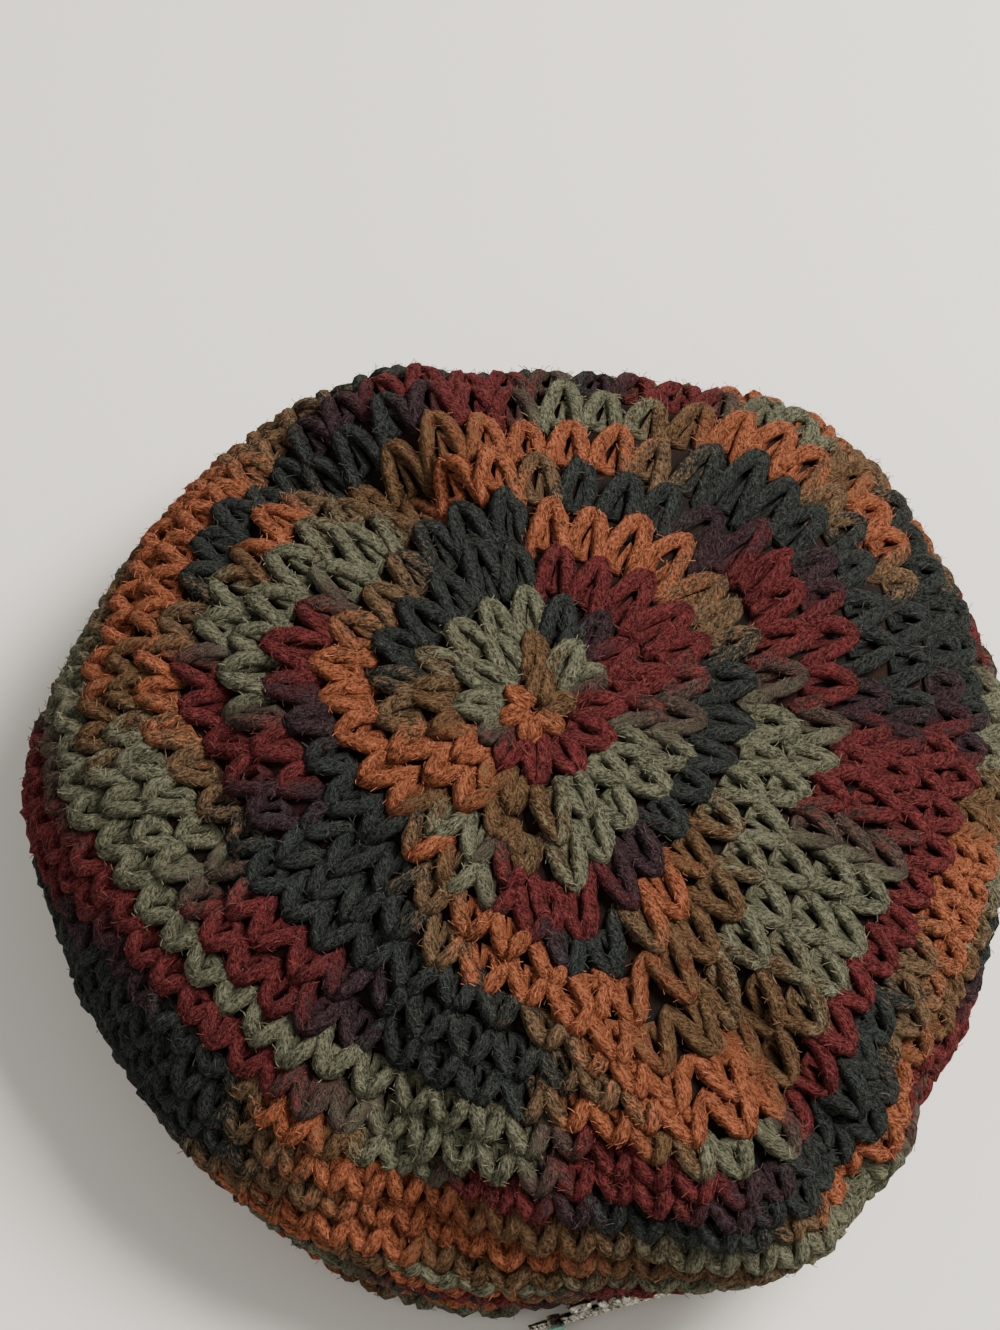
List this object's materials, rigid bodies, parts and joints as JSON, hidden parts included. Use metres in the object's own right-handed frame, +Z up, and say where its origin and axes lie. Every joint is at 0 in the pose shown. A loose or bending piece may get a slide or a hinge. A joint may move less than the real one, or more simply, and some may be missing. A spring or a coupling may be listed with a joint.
{
  "type": "crochet beret",
  "caption": "Slouchy crochet beret in bulky variegated wool with a swirling six-sided crown, a plain head band and a small metal spray brooch.",
  "frame": {"origin": "on the plane that the band's edge rests on, under the middle of the whole beret's bounding box", "axes": "+Z up through the crown, -Y towards the front where the brooch is pinned, +X to the right of a viewer who faces the front"},
  "size_m": [0.2446, 0.2456, 0.0798],
  "materials": {
    "wool_yarn": "bulky heathered wool in charcoal, tan, rust orange, sage and brick red",
    "silver_metal": "darkened antique silver, polished on the high spots",
    "green_glass": "polished pale green glass"
  },
  "bodies": {
    "root": {"crown_centre": "wool_yarn", "crown_outer": "wool_yarn", "crown_side": "wool_yarn", "underside": "wool_yarn", "head_band": "wool_yarn", "brooch_frame": "silver_metal", "brooch_stone": "green_glass", "brooch_pin": "silver_metal"}
  },
  "joints": []
}
